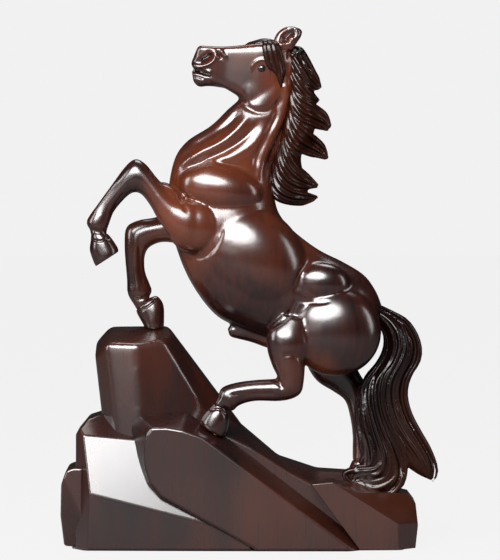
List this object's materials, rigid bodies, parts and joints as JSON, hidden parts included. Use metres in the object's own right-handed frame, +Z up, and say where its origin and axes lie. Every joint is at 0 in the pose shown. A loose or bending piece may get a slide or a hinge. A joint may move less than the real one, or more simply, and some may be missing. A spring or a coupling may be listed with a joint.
{
  "type": "horse statue",
  "caption": "Rearing horse on a faceted rock, carved in dark lacquered hardwood, with raised forelegs, flowing mane and a tail that reaches the rock.",
  "frame": {"origin": "centre of the underside of the felt that the statue rests on, on the horse's middle plane", "axes": "+Z up, the horse faces -X, its left side faces -Y"},
  "size_m": [0.2904, 0.088, 0.4002],
  "materials": {
    "rock_wood": "dark red-brown hardwood, clear gloss lacquer",
    "horse_wood": "dark red-brown hardwood, hand-rubbed clear gloss lacquer",
    "hair_wood": "dark red-brown hardwood, carved strands, clear gloss lacquer",
    "hoof_wood": "dark hardwood, clear gloss lacquer",
    "eye_bead": "polished black bead",
    "felt": "dark felt",
    "dowel_wood": "plain turned hardwood",
    "pin_brass": "drawn brass"
  },
  "bodies": {
    "root": {"rock_slab": "rock_wood", "rock_pillar": "rock_wood", "rock_shoulder": "rock_wood", "rock_corner": "rock_wood", "rock_ridge": "rock_wood", "rock_end": "rock_wood", "torso": "horse_wood", "neck": "horse_wood", "head": "horse_wood", "forelock": "horse_wood", "left_foreleg": "horse_wood", "right_foreleg": "horse_wood", "left_hind_leg": "horse_wood", "right_hind_leg": "horse_wood", "mane": "hair_wood", "tail": "hair_wood", "left_fore_hoof": "hoof_wood", "right_fore_hoof": "hoof_wood", "left_hind_hoof": "hoof_wood", "right_hind_hoof": "hoof_wood", "eyes": "eye_bead", "base_felt": "felt", "neck_dowels": "dowel_wood", "head_dowels": "dowel_wood", "foreleg_dowels": "dowel_wood", "hind_leg_dowels": "dowel_wood", "tail_dowel": "dowel_wood", "mane_dowels": "dowel_wood", "rock_dowels": "dowel_wood", "hoof_pins": "pin_brass", "ground_pins": "pin_brass"}
  },
  "joints": []
}
